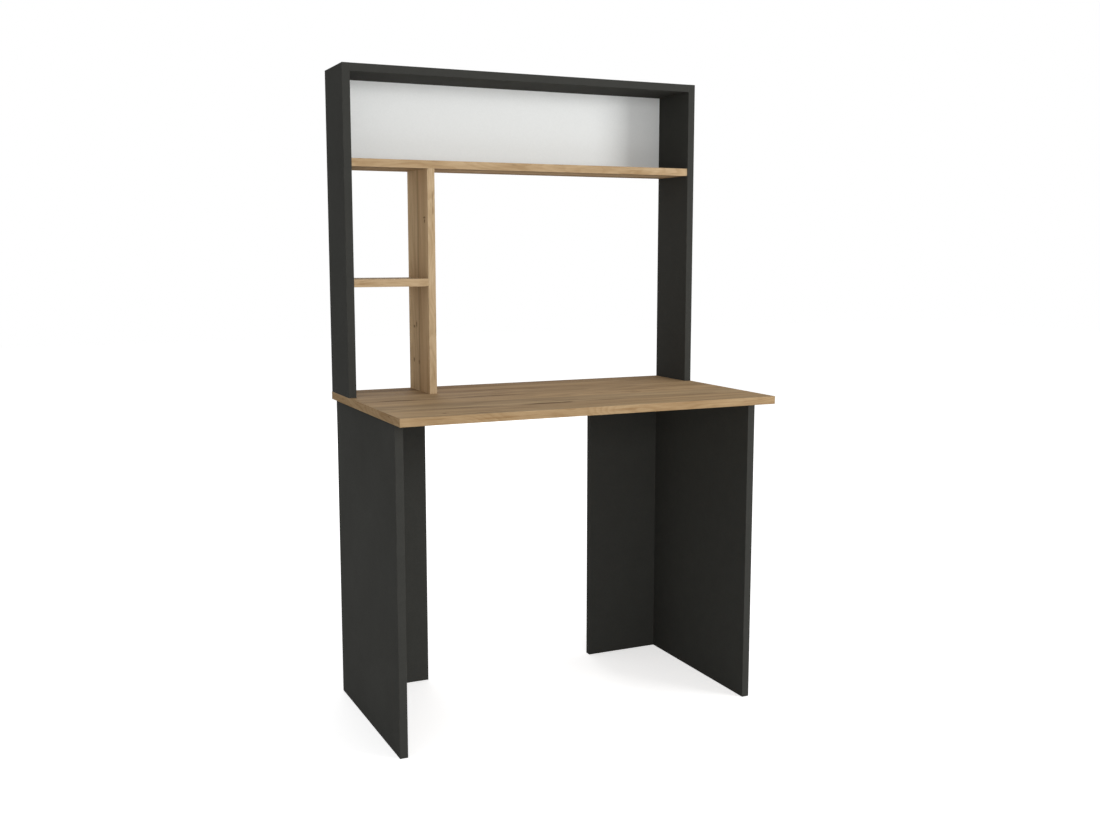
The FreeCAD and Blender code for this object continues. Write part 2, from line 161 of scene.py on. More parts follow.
# %% [markdown]
# ## Floor and background
# The desk stands on a plain pale floor. A white background made with more light would wash the
# desk out, so the floor and the world are simply told to look white to the camera. Reflections see
# the same white, while the light that reaches the desk stays at a plain level. Part of the floor's
# look is still a real matte surface, so the soft shadows under the legs stay.

# %% Floor
FLOOR_REACH = 12.0  # from its middle to each side, in m
FLOOR_TONE = (0.93, 0.93, 0.93, 1.0)
FLOOR_GLOW = 0.6


def seen_directly(tree):
    """1 for rays that show the background: to the camera, in a reflection or through glass."""
    path = add(tree, "ShaderNodeLightPath")
    seen = calc(tree, "MAXIMUM", path.outputs["Is Camera Ray"], path.outputs["Is Glossy Ray"])
    return calc(tree, "MAXIMUM", seen, path.outputs["Is Transmission Ray"])


def make_floor():
    """A large plane at the desk's feet whose matte white is lifted toward plain white."""
    mesh = bpy.data.meshes.new("floor")
    shape = bmesh.new()
    bmesh.ops.create_grid(shape, x_segments=4, y_segments=4, size=FLOOR_REACH)
    shape.to_mesh(mesh)
    shape.free()
    floor = bpy.data.objects.new("floor", mesh)
    bpy.context.scene.collection.objects.link(floor)
    material = bpy.data.materials.new("pale_floor")
    material.use_nodes = True
    tree = material.node_tree
    tree.nodes.clear()
    matte = add(tree, "ShaderNodeBsdfDiffuse", {"Color": FLOOR_TONE})
    strength = times(tree, seen_directly(tree), FLOOR_GLOW)
    glow = add(tree, "ShaderNodeEmission", {"Strength": strength})
    both = add(tree, "ShaderNodeAddShader", {0: matte.outputs[0], 1: glow.outputs[0]})
    add(tree, "ShaderNodeOutputMaterial", {"Surface": both.outputs[0]})
    mesh.materials.append(material)
    print("floor width in m:", round(floor.dimensions.x, 1))


make_floor()

# %% World
AIR_LIGHT = 0.5

world = bpy.data.worlds.new("soft_air")
world.use_nodes = True
sky = world.node_tree
sky.nodes.clear()
glow_level = ramp(sky, seen_directly(sky), 0.0, 1.0, AIR_LIGHT, 1.0)
air = add(sky, "ShaderNodeBackground", {"Color": (1, 1, 1, 1), "Strength": glow_level})
add(sky, "ShaderNodeOutputWorld", {"Surface": air.outputs[0]})
bpy.context.scene.world = world
bpy.context.scene.view_settings.view_transform = "Standard"
print("light of the air:", AIR_LIGHT)

# %% [markdown]
# ## The lamps
# The air lights every side alike and would leave the boards flat. Two soft lamps stand low in
# front, as wide as a window each: one right of the desk and one a little left of its middle. The
# right one throws the soft shadow of the hutch side on the white panel, and both light the front
# edges, so they read lighter than the faces. Aimed at the hutch, they also fade a little toward the
# feet. A weak lamp behind keeps the back of the desk readable. A sun would be simpler than an area
# lamp, but its shadows would be hard.

# %% Three soft lamps
PANEL_MIDDLE = sum(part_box("back_panel"), Vector()) / 2
LAMP_DISTANCE = 5.0
FULL_LIGHT = (math.pi * LAMP_DISTANCE) ** 2  # the power at which a colour shows as written, in W


def make_lamp(name, swing, rise, size, share):
    """A square lamp aimed at the hutch, a share of full light. Swing goes from the front toward the
    right and rise from level, in degrees; size is in metres."""
    swing, rise = math.radians(swing), math.radians(rise)
    level = math.cos(rise)
    outward = Vector((math.sin(swing) * level, -math.cos(swing) * level, math.sin(rise)))
    light = bpy.data.lights.new(name, "AREA")
    light.size = size
    light.energy = FULL_LIGHT * share
    lamp = bpy.data.objects.new(name, light)
    lamp.location = PANEL_MIDDLE + outward * LAMP_DISTANCE
    lamp.rotation_euler = (-outward).to_track_quat("-Z", "Y").to_euler()
    bpy.context.scene.collection.objects.link(lamp)
    print(name, "power in W:", round(light.energy, 1))


make_lamp("right_lamp", swing=44, rise=2.2, size=1.8, share=0.45)
make_lamp("front_lamp", swing=-12, rise=2.2, size=1.4, share=0.22)
make_lamp("back_lamp", swing=170, rise=12, size=2.0, share=0.2)

# %% [markdown]
# ## Effects that several finishes share
# A printed oak board and a printed oak edge band differ only in colour and scale, and every board
# has the same raw cut edges. Such effects are made once as node groups with named inputs, and each
# material sets its own values. A group gives out only patterns: masks, heights and colours.

# %% Starting an effect
FLOAT, COLOR, VECTOR = "NodeSocketFloat", "NodeSocketColor", "NodeSocketVector"


def new_effect(name, inputs, outputs):
    """Starts a node group; returns its tree, its inputs and a function that fills its outputs."""
    tree = bpy.data.node_groups.new(name, "ShaderNodeTree")
    for label, kind, value in inputs:
        socket = tree.interface.new_socket(label, in_out="INPUT", socket_type=kind)
        if value is not None:
            socket.default_value = value
    for label, kind in outputs:
        tree.interface.new_socket(label, in_out="OUTPUT", socket_type=kind)
    given = tree.nodes.new("NodeGroupInput").outputs

    def give(**results):
        end = tree.nodes.new("NodeGroupOutput")
        for label, result in results.items():
            tree.links.new(result, end.inputs[label.replace("_", " ")])
        print("effect:", name, "with", len(tree.nodes), "nodes")
        return tree

    return tree, given, give


# %% Noise helpers
NOISE_MIDDLE = 0.5
NOISE_SPAN = (0.25, 0.75)  # most of a noise lies in this range


def even(scale):
    """The same scale in all three directions."""
    return (scale, scale, scale)


def stretched_noise(tree, place, scale, detail=2.0, roughness=0.5, distortion=0.0):
    """Noise over a place whose three directions are scaled on their own, in waves per metre."""
    feeds = {"Vector": place_calc(tree, "MULTIPLY", place, scale), "Scale": 1.0, "Detail": detail,
             "Roughness": roughness, "Distortion": distortion}
    return add(tree, "ShaderNodeTexNoise", feeds).outputs["Fac"]


def about_zero(tree, noise):
    """A noise shifted down, so that it swings about zero."""
    return calc(tree, "SUBTRACT", noise, NOISE_MIDDLE)


print("a noise mostly stays between", *NOISE_SPAN)

# %% [markdown]
# ### Which faces are cut edges
# A board is faced on its two broad sides and sawn on its four narrow ones. The direction a face
# looks in tells the two apart: along the board's thickness or across it. Painting faces by hand
# would work too, but the direction test needs no selection and fits every board.

# %% Effect: cut edge mask
FACING_LIMIT = 0.5  # between a face looking along a direction, 1, and one looking across it, 0

tree, given, give = new_effect(
    "Cut Edge Mask", [("Flat Axis", VECTOR, (0, 0, 1))], [("Mask", FLOAT)],
)
facing = add(tree, "ShaderNodeNewGeometry").outputs["True Normal"]
is_flat = calc(tree, "ABSOLUTE", place_calc(tree, "DOT_PRODUCT", facing, given["Flat Axis"]))
CUT_EDGE_MASK = give(Mask=calc(tree, "LESS_THAN", is_flat, FACING_LIMIT))

# %% [markdown]
# ### Rubbed arrises
# Hands and sleeves polish the sharp corners of a desk first. The distance to the nearest arris of
# a box is the middle one of the three distances to its faces: the smallest is zero on the surface
# itself. A little noise breaks the line up, because nothing wears evenly.

# %% Effect: arris rub
RUB_PATCHES = (0.4, 0.65)  # noise levels between which a rub sets in

tree, given, give = new_effect(
    "Arris Rub",
    [("Low", VECTOR, None), ("High", VECTOR, None), ("Width", FLOAT, 1.5 * MM),
     ("Breakup", FLOAT, 30.0)],
    [("Mask", FLOAT)],
)
place = add(tree, "ShaderNodeTexCoord").outputs["Object"]
from_low = place_calc(tree, "SUBTRACT", place, given["Low"])
from_high = place_calc(tree, "SUBTRACT", given["High"], place)
x_gap, y_gap, z_gap = split(tree, place_calc(tree, "MINIMUM", from_low, from_high))
smaller = calc(tree, "MINIMUM", x_gap, y_gap)
larger = calc(tree, "MAXIMUM", x_gap, y_gap)
arris_gap = calc(tree, "MAXIMUM", smaller, calc(tree, "MINIMUM", larger, z_gap))
line = fall(tree, arris_gap, 0.0, given["Width"])
breakup = {"Vector": place, "Scale": given["Breakup"], "Detail": 3.0}
uneven = add(tree, "ShaderNodeTexNoise", breakup).outputs["Fac"]
patches = ramp(tree, uneven, *RUB_PATCHES)
ARRIS_RUB = give(Mask=times(tree, line, patches))

# %% [markdown]
# ### Pressed pearl texture
# Melamine paper takes the texture of the steel plate that presses it: fine pebbles under a
# millimetre across, which turn gloss into a soft matt. Displacing the mesh that finely would take
# millions of faces, so a height for the Bump node does it, with a slow drift of the roughness over
# it for where hands have been. The valleys between pebbles also come out as a mask of painted
# shade, patchy over the surface, which the anthracite finish lays over its own colour.

# %% Effect: pearl texture
HAND_WAVES = even(5.0)  # per metre
VALLEY_SHADE_WAVES = even(160.0)
VALLEY_EDGE = (0.25, 0.75)  # distance from a pebble's middle, in pebbles
VALLEY_SHADE_PATCHES = (0.3, 0.7, 0.35, 1.0)  # two noise levels, and the shares of painted shade at them
DRIFT_GAIN = 4.0  # a noise swings by about a quarter, so this makes it a whole drift

tree, given, give = new_effect(
    "Pearl Texture",
    [("Vector", VECTOR, None), ("Pebbles Per Metre", FLOAT, 1400.0), ("Roughness", FLOAT, 0.5),
     ("Drift", FLOAT, 0.06)],
    [("Height", FLOAT), ("Roughness", FLOAT), ("Valleys", FLOAT)],
)
cells = {"Vector": given["Vector"], "Scale": given["Pebbles Per Metre"]}
pebbles = add(tree, "ShaderNodeTexVoronoi", cells, feature="SMOOTH_F1").outputs["Distance"]
slow = about_zero(tree, stretched_noise(tree, given["Vector"], HAND_WAVES, detail=4.0))
drift = times(tree, slow, times(tree, given["Drift"], DRIFT_GAIN))
patchy = stretched_noise(tree, given["Vector"], VALLEY_SHADE_WAVES, detail=3.0, roughness=0.6)
# painted shade: the valleys between pebbles, in patches, become a mask that darkens the colour
valley_shade_patches = ramp(tree, patchy, *VALLEY_SHADE_PATCHES)
PEARL_TEXTURE = give(Height=calc(tree, "SUBTRACT", 1.0, pebbles),
                     Valleys=times(tree, ramp(tree, pebbles, *VALLEY_EDGE), valley_shade_patches),
                     Roughness=calc(tree, "ADD", given["Roughness"], drift, clamp=True))

# %% [markdown]
# ### Raw particle board
# Where a board is sawn and left without a band, it shows pressed wood chips: fine and dense near
# both faces, coarse in the core, all lying flat as the press left them. Two sizes of Voronoi cells,
# squeezed through the board, give the chips their own tones, and a sparse noise opens the few small
# pits that a saw tears out of the core.

# %% Chip sizes and tones
CHIP_DARK = colour(168, 138, 102)
CHIP_PALE = colour(214, 190, 154)
PIT_BROWN = colour(112, 88, 62)
CORE_EDGE = (0.45, 0.8)  # where the core ends, in shares of half the thickness
CHIP_SQUEEZE = (1.0, 1.0, 3.0)  # chips lie flat, three times as wide as thick
CORE_CHIPS = 300.0  # per metre
FACE_CHIPS = 950.0
CORE_SHARE = 0.6  # the rest of the core's tone comes from the fine chips in it
PIT_WAVES = (380.0, 380.0, 900.0)
PIT_EDGE = (0.66, 0.73)  # only the peaks of the noise open a pit
print("chips per metre:", CORE_CHIPS, "in the core,", FACE_CHIPS, "near the faces")

# %% Effect: raw chips
tree, given, give = new_effect(
    "Raw Chips",
    [("Vector", VECTOR, None), ("Middle", FLOAT, 0.0), ("Half Thickness", FLOAT, 9 * MM)],
    [("Color", COLOR), ("Height", FLOAT)],
)
through = split(tree, given["Vector"])[2]
off_middle = calc(tree, "ABSOLUTE", calc(tree, "SUBTRACT", through, given["Middle"]))
core = fall(tree, calc(tree, "DIVIDE", off_middle, given["Half Thickness"]), *CORE_EDGE)
squeezed = place_calc(tree, "MULTIPLY", given["Vector"], CHIP_SQUEEZE)
tones = []
for chips_per_metre in (CORE_CHIPS, FACE_CHIPS):
    cells = add(tree, "ShaderNodeTexVoronoi", {"Vector": squeezed, "Scale": chips_per_metre})
    tones.append(add(tree, "ShaderNodeSeparateColor", {0: cells.outputs["Color"]}).outputs[0])
coarse_share = times(tree, core, CORE_SHARE)
coarse_part = times(tree, tones[0], coarse_share)
fine_part = times(tree, tones[1], calc(tree, "SUBTRACT", 1.0, coarse_share))
chip_tone = calc(tree, "ADD", coarse_part, fine_part)
chips = tint(tree, chip_tone, CHIP_DARK, CHIP_PALE)
torn = ramp(tree, stretched_noise(tree, given["Vector"], PIT_WAVES), *PIT_EDGE)
pits = times(tree, torn, core)
RAW_CHIPS = give(Color=tint(tree, pits, chips, PIT_BROWN),
                 Height=calc(tree, "SUBTRACT", chip_tone, pits))

# %% [markdown]
# ### Printed oak
# The wood look is a print of rustic oak staves laid side by side. Each stave has its own tone and
# hue; growth rings run along it in long arches, fine fibres and short dark pores lie in them, and
# here and there are darker streaks, thin cracks and pin knots. All of it comes from noise
# stretched along the grain. Cut into steps, one noise field gives the arches of a flat-sawn board,
# like the height lines of a map; giving every step its own weight keeps them from looking ruled.
# Place runs along the grain, across it and through the board, in metres. Three groups share the
# work: one parts the staves, one draws the figure in them, and one turns both into a colour.

# %% Stave sizes
PLAIN_STAVE = 85 * MM
BEND_WAVES = (3.2, 2.0, 2.0)
BEND_REACH = 14 * MM  # how far a stave's edge wanders
SEAM_CORE = (0.3 * MM, 1.4 * MM)  # a thin dark line where two staves meet
SEAM_SHADE = (0.0, 11 * MM)  # and a soft shade beside it
CORE_WEIGHT = 0.55
SHADE_WEIGHT = 0.45
SEAM_WAVES = (4.0, 9.0, 9.0)
SEAM_PATCHES = (0.32, 0.55)  # noise levels between which a seam comes in
SEED_STEP = 7.31  # keeps the staves of two seeds apart
STAVE_SHIFT_ALONG = 9.0  # how far apart in the print two staves may lie, in m
STAVE_SHIFT_THROUGH = 5.0
print("a plain stave is", round(PLAIN_STAVE / MM), "mm wide")

# %% Effect: oak staves
tree, given, give = new_effect(
    "Oak Staves",
    [("Place", VECTOR, None), ("Stave Width", FLOAT, PLAIN_STAVE), ("Seed", FLOAT, 0.0),
     ("Seams", FLOAT, 1.0)],
    [("Place", VECTOR), ("Tone", FLOAT), ("Hue", FLOAT), ("Seam", FLOAT)],
)
along, across, through = split(tree, given["Place"])
bend = about_zero(tree, stretched_noise(tree, given["Place"], BEND_WAVES, detail=3.0))
bent = calc(tree, "MULTIPLY_ADD", bend, BEND_REACH, across)
counted = calc(tree, "ADD", calc(tree, "DIVIDE", bent, given["Stave Width"]), given["Seed"])
number = calc(tree, "MULTIPLY_ADD", given["Seed"], SEED_STEP, calc(tree, "FLOOR", counted))
lot = add(tree, "ShaderNodeTexWhiteNoise", {"W": number}, noise_dimensions="1D").outputs["Color"]
first, second, third = add(tree, "ShaderNodeSeparateColor", {0: lot}).outputs
within = calc(tree, "FRACT", counted)
nearer_side = calc(tree, "MINIMUM", within, calc(tree, "SUBTRACT", 1.0, within))
seam_gap = times(tree, nearer_side, given["Stave Width"])
seam_core = times(tree, fall(tree, seam_gap, *SEAM_CORE), CORE_WEIGHT)
seam_line = calc(tree, "MULTIPLY_ADD", fall(tree, seam_gap, *SEAM_SHADE), SHADE_WEIGHT, seam_core)
seam_patches = ramp(tree, stretched_noise(tree, given["Place"], SEAM_WAVES), *SEAM_PATCHES)
seam_share = calc(tree, "MULTIPLY", seam_patches, given["Seams"], clamp=True)
own_place = add(tree, "ShaderNodeCombineXYZ", {
    0: calc(tree, "MULTIPLY_ADD", first, STAVE_SHIFT_ALONG, along),
    1: across,
    2: calc(tree, "MULTIPLY_ADD", second, STAVE_SHIFT_THROUGH, through),
})
OAK_STAVES = give(Place=own_place.outputs[0], Tone=third, Hue=first,
                  Seam=times(tree, seam_line, seam_share))

# %% Sizes of the oak figure
FIGURE_WAVES = {  # per metre along the grain, across it and through the board
    "knots": (4.5, 11.0, 11.0),
    "arches": (0.8, 9.0, 9.0),
    "wobble": (4.0, 60.0, 60.0),
    "fibres": (7.0, 420.0, 420.0),
    "pores": (55.0, 1400.0, 1400.0),
    "drift": (1.5, 20.0, 20.0),
    "streaks": (2.2, 75.0, 75.0),
    "crack zones": (3.0, 14.0, 14.0),
    "cracks": (5.0, 170.0, 170.0),
}
RING_COUNT = 22.0  # over the whole range of the arch noise
PLAIN_KNOTS = 0.1  # share of the knot cells that have one
KNOT_CORE = (0.012, 0.04)  # distance from a knot's middle, in cells
KNOT_SWELL = (0.0, 0.35)
KNOT_PUSH = 0.1  # how far a knot lifts the rings round it
RING_WOBBLE = 0.03
LATE_WOOD_RISE = (0.2, 0.85)  # a ring darkens slowly, in shares of its width
LATE_WOOD_END = (0.86, 1.0)  # and ends quickly
LEAST_RING = 0.15  # weight of the faintest ring
LEAST_PORES = 0.3  # share of the pores that lie between the rings
PORE_EDGE = (0.58, 0.7)  # noise levels between which a mark comes in, here and below
STREAK_EDGE = (0.56, 0.74)
CRACK_ZONE_EDGE = (0.58, 0.7)
CRACK_EDGE = (0.6, 0.68)
print("noises in the oak figure:", len(FIGURE_WAVES))

# %% Effect: oak figure
tree, given, give = new_effect(
    "Oak Figure",
    [("Place", VECTOR, None), ("Ring Count", FLOAT, RING_COUNT),
     ("Knot Share", FLOAT, PLAIN_KNOTS)],
    [("Rings", FLOAT), ("Fibres", FLOAT), ("Pores", FLOAT), ("Drift", FLOAT), ("Streaks", FLOAT),
     ("Cracks", FLOAT), ("Knots", FLOAT)],
)


def figure_noise(part, **settings):
    """The noise of one part of the figure, stretched along the grain."""
    return stretched_noise(tree, given["Place"], FIGURE_WAVES[part], **settings)


knot_place = place_calc(tree, "MULTIPLY", given["Place"], FIGURE_WAVES["knots"])
knot_cells = add(tree, "ShaderNodeTexVoronoi", {"Vector": knot_place, "Scale": 1.0}).outputs
knot_lot = add(tree, "ShaderNodeSeparateColor", {0: knot_cells["Color"]}).outputs[0]
has_knot = calc(tree, "LESS_THAN", knot_lot, given["Knot Share"])
knots = times(tree, fall(tree, knot_cells["Distance"], *KNOT_CORE), has_knot)
swell = times(tree, fall(tree, knot_cells["Distance"], *KNOT_SWELL), has_knot)
arches = figure_noise("arches", detail=1.5, roughness=0.4, distortion=0.2)
pushed = calc(tree, "MULTIPLY_ADD", swell, KNOT_PUSH, arches)
wobbled = calc(tree, "MULTIPLY_ADD", figure_noise("wobble"), RING_WOBBLE, pushed)
height_line = times(tree, wobbled, given["Ring Count"])
in_ring = calc(tree, "FRACT", height_line)
late_wood = times(tree, ramp(tree, in_ring, *LATE_WOOD_RISE), fall(tree, in_ring, *LATE_WOOD_END))
ring_lot = {"W": calc(tree, "FLOOR", height_line)}
weight = add(tree, "ShaderNodeTexWhiteNoise", ring_lot, noise_dimensions="1D").outputs["Value"]
ring_weight = calc(tree, "MULTIPLY_ADD", weight, 1 - LEAST_RING, LEAST_RING)
rings = times(tree, late_wood, ring_weight)
pore_share = calc(tree, "MULTIPLY_ADD", rings, 1 - LEAST_PORES, LEAST_PORES)
pores = ramp(tree, figure_noise("pores", detail=1.0), *PORE_EDGE)
streaks = ramp(tree, figure_noise("streaks", detail=3.0), *STREAK_EDGE)
crack_zones = ramp(tree, figure_noise("crack zones", detail=1.0), *CRACK_ZONE_EDGE)
cracks = ramp(tree, figure_noise("cracks"), *CRACK_EDGE)
OAK_FIGURE = give(
    Rings=rings, Fibres=figure_noise("fibres", detail=4.0, roughness=0.6),
    Pores=times(tree, pores, pore_share),
    Drift=figure_noise("drift", detail=4.0, roughness=0.55), Streaks=streaks,
    Cracks=times(tree, cracks, crack_zones), Knots=knots,
)

# %% How dark each part of the figure is
RING_SHARE = 0.26
FIBRE_SHARES = (0.0, 0.28)
DRIFT_SHARES = (0.06, 0.49)
STREAK_SHARE = 0.4
STAVE_SHARES = (-0.19, 0.19)  # a stave may be paler or darker than its neighbour
MARK_STRENGTH = {"Pores": 0.3, "Cracks": 0.45, "Knots": 0.8}
SEAM_STRENGTH = 0.5
FIBRE_HEIGHT = 0.3
print("marks over the wood:", list(MARK_STRENGTH))

# %% Effect: oak colour
tree, given, give = new_effect(
    "Printed Oak",
    [("Place", VECTOR, None), ("Seed", FLOAT, 0.0), ("Stave Width", FLOAT, PLAIN_STAVE),
     ("Seams", FLOAT, 1.0), ("Light Wood", COLOR, None), ("Dark Wood", COLOR, None),
     ("Warm Wood", COLOR, None), ("Crack", COLOR, None), ("Ring Count", FLOAT, RING_COUNT),
     ("Knot Share", FLOAT, PLAIN_KNOTS), ("Marks", FLOAT, 0.0)],
    [("Color", COLOR), ("Height", FLOAT)],
)
stave_feeds = {label: given[label] for label in ("Place", "Stave Width", "Seed", "Seams")}
staves = use(tree, OAK_STAVES, stave_feeds)
figure_feeds = {label: given[label] for label in ("Ring Count", "Knot Share")}
figure = use(tree, OAK_FIGURE, {"Place": staves["Place"], **figure_feeds})
darkness = times(tree, figure["Rings"], RING_SHARE)
for share in (
    ramp(tree, figure["Fibres"], *NOISE_SPAN, *FIBRE_SHARES),
    ramp(tree, figure["Drift"], *NOISE_SPAN, *DRIFT_SHARES),
    times(tree, figure["Streaks"], STREAK_SHARE),
    ramp(tree, staves["Tone"], 0.0, 1.0, *STAVE_SHARES),
):
    darkness = calc(tree, "ADD", darkness, share)
darkness = calc(tree, "MAXIMUM", darkness, 0.0, clamp=True)
wood = tint(tree, darkness, given["Light Wood"], given["Dark Wood"])
wood = tint(tree, staves["Hue"], wood, given["Warm Wood"], how="MULTIPLY")
marks = given["Marks"]
for mark, strength in MARK_STRENGTH.items():
    marks = calc(tree, "MAXIMUM", marks, times(tree, figure[mark], strength))
marks = calc(tree, "MAXIMUM", marks, times(tree, staves["Seam"], SEAM_STRENGTH))
fibre_height = times(tree, figure["Fibres"], FIBRE_HEIGHT)
PRINTED_OAK = give(Color=tint(tree, marks, wood, given["Crack"]),
                   Height=calc(tree, "SUBTRACT", fibre_height, marks))

# %% [markdown]
# ## Laying a finish on a board
# Every board has its own place in the room, so a pattern written once has to be turned to run along
# it. The three sides of a board's box, sorted by length, say which way the grain runs and which way
# is through the board: true for a shelf, an upright and a thin band alike.

# %% Placing patterns
AXES = "XYZ"


def axes_by_length(node):
    """A node's three axes, longest side first."""
    low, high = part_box(node)
    size = high - low
    return sorted(AXES, key=lambda name: -size[AXES.index(name)])


def laid_place(tree, node):
    """Where a point lies along, across and through a node, in metres."""
    parts = split(tree, add(tree, "ShaderNodeTexCoord").outputs["Object"])
    order = {index: parts[name] for index, name in enumerate(axes_by_length(node))}
    return add(tree, "ShaderNodeCombineXYZ", order).outputs[0]


def flat_axis(node):
    """The direction through a board, as a vector."""
    return tuple(1.0 if name == axes_by_length(node)[2] else 0.0 for name in AXES)


print("desk top, longest side first:", axes_by_length("desk_top"))


# %% Starting a material
def new_finish(name):
    """An empty material with a Principled shader; returns the material, its tree and the shader."""
    material = bpy.data.materials.new(name)
    material.use_nodes = True
    tree = material.node_tree
    tree.nodes.clear()
    shader = add(tree, "ShaderNodeBsdfPrincipled")
    add(tree, "ShaderNodeOutputMaterial", {"Surface": shader.outputs[0]})
    return material, tree, shader


def feed(tree, shader, **values):
    """Feeds a shader's inputs; underscores in the names stand for spaces."""
    for label, value in values.items():
        target = shader.inputs[label.replace("_", " ")]
        if isinstance(value, bpy.types.NodeSocket):
            tree.links.new(value, target)
        else:
            target.default_value = value


def bump(tree, height, depth):
    """A normal from a height pattern, for a real depth in metres."""
    feeds = {"Strength": 1.0, "Distance": depth, "Height": height}
    return add(tree, "ShaderNodeBump", feeds).outputs[0]


print("helpers: new_finish, feed, bump")


# %% [markdown]
# ## What all boards and all bands share
# Dark or oak, a board is a printed paper over pressed chips, and a band is a strip of coloured
# plastic. So each kind gets one helper that takes the colour of the face and adds the rest: raw
# chips where a board is sawn, rubbed arrises on a band, the pearl texture and the gloss. Laminate
# has so little gloss that its specular level is almost nothing; with more, pale surroundings would
# lay a grey veil on every face that is seen at a low angle.

# %% Gloss and relief of laminate
LAMINATE_GLOSS = 0.02
BOARD_ROUGHNESS = 0.75
BAND_ROUGHNESS = 0.7
CUT_ROUGHNESS = 0.9
BOARD_RELIEF = 0.05 * MM
BAND_RELIEF = 0.04 * MM
CHIP_HEIGHT = 6.0  # times the height of the pebbles
RUB_WIDTH = 1.0 * MM
RUB_POLISH = 0.3  # how much roughness a full rub takes away
print("laminate's specular level:", LAMINATE_GLOSS)


# %% Boards and bands
def pearl_texture(tree, place, roughness):
    """The pressed texture of melamine; returns its height, roughness and valleys."""
    return use(tree, PEARL_TEXTURE, {"Vector": place, "Roughness": roughness})


def raw_chips(tree, place, node):
    """Raw chips laid through a node's thickness; returns their colour and height."""
    low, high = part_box(node)
    through = AXES.index(axes_by_length(node)[2])
    middle = (low[through] + high[through]) / 2
    half = (high[through] - low[through]) / 2
    return use(tree, RAW_CHIPS, {"Vector": place, "Middle": middle, "Half Thickness": half})


def feed_board(tree, shader, node, place, face, face_height, face_roughness):
    """Feeds a board's shader: a finish on both faces, raw chips on the sawn edges."""
    cut = use(tree, CUT_EDGE_MASK, {"Flat Axis": flat_axis(node)})[0]
    chips = raw_chips(tree, place, node)
    chip_height = times(tree, chips["Height"], CHIP_HEIGHT)
    height = add(tree, "ShaderNodeMix", {0: cut, 2: face_height, 3: chip_height}).outputs[0]
    cut_roughness = times(tree, cut, CUT_ROUGHNESS)
    feed(tree, shader, Base_Color=tint(tree, cut, face, chips["Color"]),
         Roughness=calc(tree, "MAXIMUM", face_roughness, cut_roughness),
         Specular_IOR_Level=LAMINATE_GLOSS, Normal=bump(tree, height, BOARD_RELIEF))


def feed_band(tree, shader, node, pearl, face, rubbed, rub_share):
    """Feeds a band's shader: a finish that is paler and smoother where the arrises are rubbed."""
    low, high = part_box(node)
    worn = use(tree, ARRIS_RUB, {"Low": low, "High": high, "Width": RUB_WIDTH})[0]
    rub = times(tree, worn, rub_share)
    polish = times(tree, rub, RUB_POLISH)
    feed(tree, shader, Base_Color=tint(tree, rub, face, rubbed),
         Roughness=calc(tree, "SUBTRACT", pearl["Roughness"], polish),
         Specular_IOR_Level=LAMINATE_GLOSS, Normal=bump(tree, pearl["Height"], BAND_RELIEF))


print("helpers: pearl_texture, raw_chips, feed_board, feed_band")

# %% [markdown]
# ## Anthracite board and band
# The legs and the hutch case are plain dark melamine with a warm undertone. What keeps a plain dark
# face from looking like a hole is its texture: the pearl pattern in the gloss, a slow drift of the
# roughness, and a slightly lighter line where an arris is rubbed. The band is the same colour in
# solid plastic, so it has the texture but no chips under it.

# %% Anthracite tones
ANTHRACITE = colour(60, 60, 57)
ANTHRACITE_CLOUD = colour(62, 62, 59)
# painted shade between the pebbles of the pearl texture
ANTHRACITE_VALLEY_SHADE = colour(47, 47, 45)
RUBBED_ANTHRACITE = colour(96, 95, 91)
CLOUD_WAVES = even(24.0)
CLOUD_EDGE = (0.3, 0.7)
VALLEY_SHADE_SHARE = 0.5
DARK_RUB_SHARE = 0.35
print("anthracite in linear light:", [round(part, 4) for part in ANTHRACITE[:3]])


# %% Anthracite finishes
def anthracite_colour(tree, place, valley_shade):
    """Dark melamine paper with a faint cloud in it, and painted shade between the pebbles."""
    cloud = stretched_noise(tree, place, CLOUD_WAVES, detail=6.0, roughness=0.65)
    paper = tint(tree, ramp(tree, cloud, *CLOUD_EDGE), ANTHRACITE, ANTHRACITE_CLOUD)
    return tint(tree, times(tree, valley_shade, VALLEY_SHADE_SHARE), paper, ANTHRACITE_VALLEY_SHADE)


def anthracite_board(node):
    """Dark melamine on both faces, raw chips on the sawn edges."""
    material, tree, shader = new_finish(f"anthracite_{node}")
    place = laid_place(tree, node)
    pearl = pearl_texture(tree, place, BOARD_ROUGHNESS)
    face = anthracite_colour(tree, place, pearl["Valleys"])
    feed_board(tree, shader, node, place, face, pearl["Height"], pearl["Roughness"])
    return material


def anthracite_band(node):
    """Solid dark plastic strip, lighter where its arrises are rubbed."""
    material, tree, shader = new_finish(f"anthracite_{node}")
    place = laid_place(tree, node)
    pearl = pearl_texture(tree, place, BAND_ROUGHNESS)
    face = anthracite_colour(tree, place, pearl["Valleys"])
    feed_band(tree, shader, node, pearl, face, RUBBED_ANTHRACITE, DARK_RUB_SHARE)
    return material


print("anthracite pieces:", sum(slot.startswith("anthracite") for slot in slot_of.values()))
